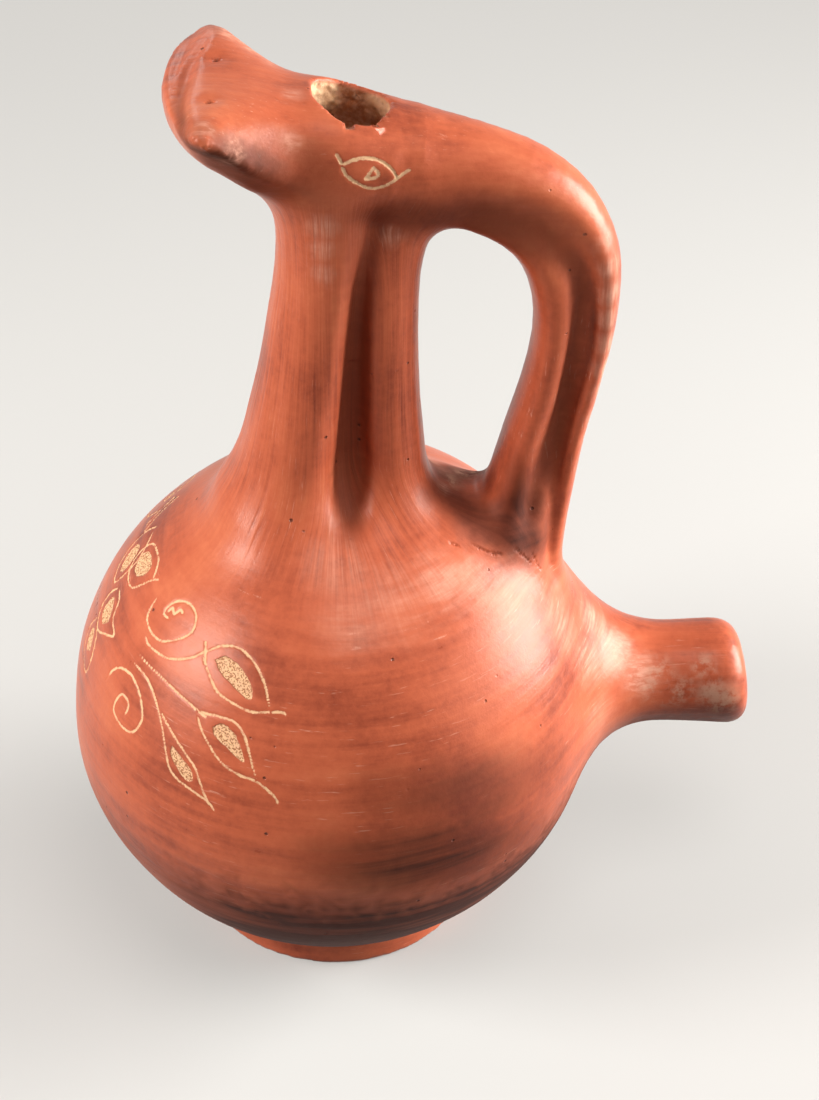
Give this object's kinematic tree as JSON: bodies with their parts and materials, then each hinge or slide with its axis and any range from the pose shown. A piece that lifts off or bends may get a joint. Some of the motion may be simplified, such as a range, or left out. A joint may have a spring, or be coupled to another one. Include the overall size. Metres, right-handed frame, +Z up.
{
  "type": "clay water jug",
  "caption": "Burnished red clay jug in the form of an animal: ball belly on a flat foot, long neck, head with broad snout and filling hole, looped handle and stub tail.",
  "frame": {"origin": "centre of the foot's flat underside", "axes": "+Z points up, -X points to the snout, +X points to the tail, and the XZ plane is the plane of symmetry"},
  "size_m": [0.269, 0.208, 0.3842],
  "materials": {
    "terracotta": "burnished slip"
  },
  "bodies": {
    "root": {"jug": "terracotta"}
  },
  "joints": []
}
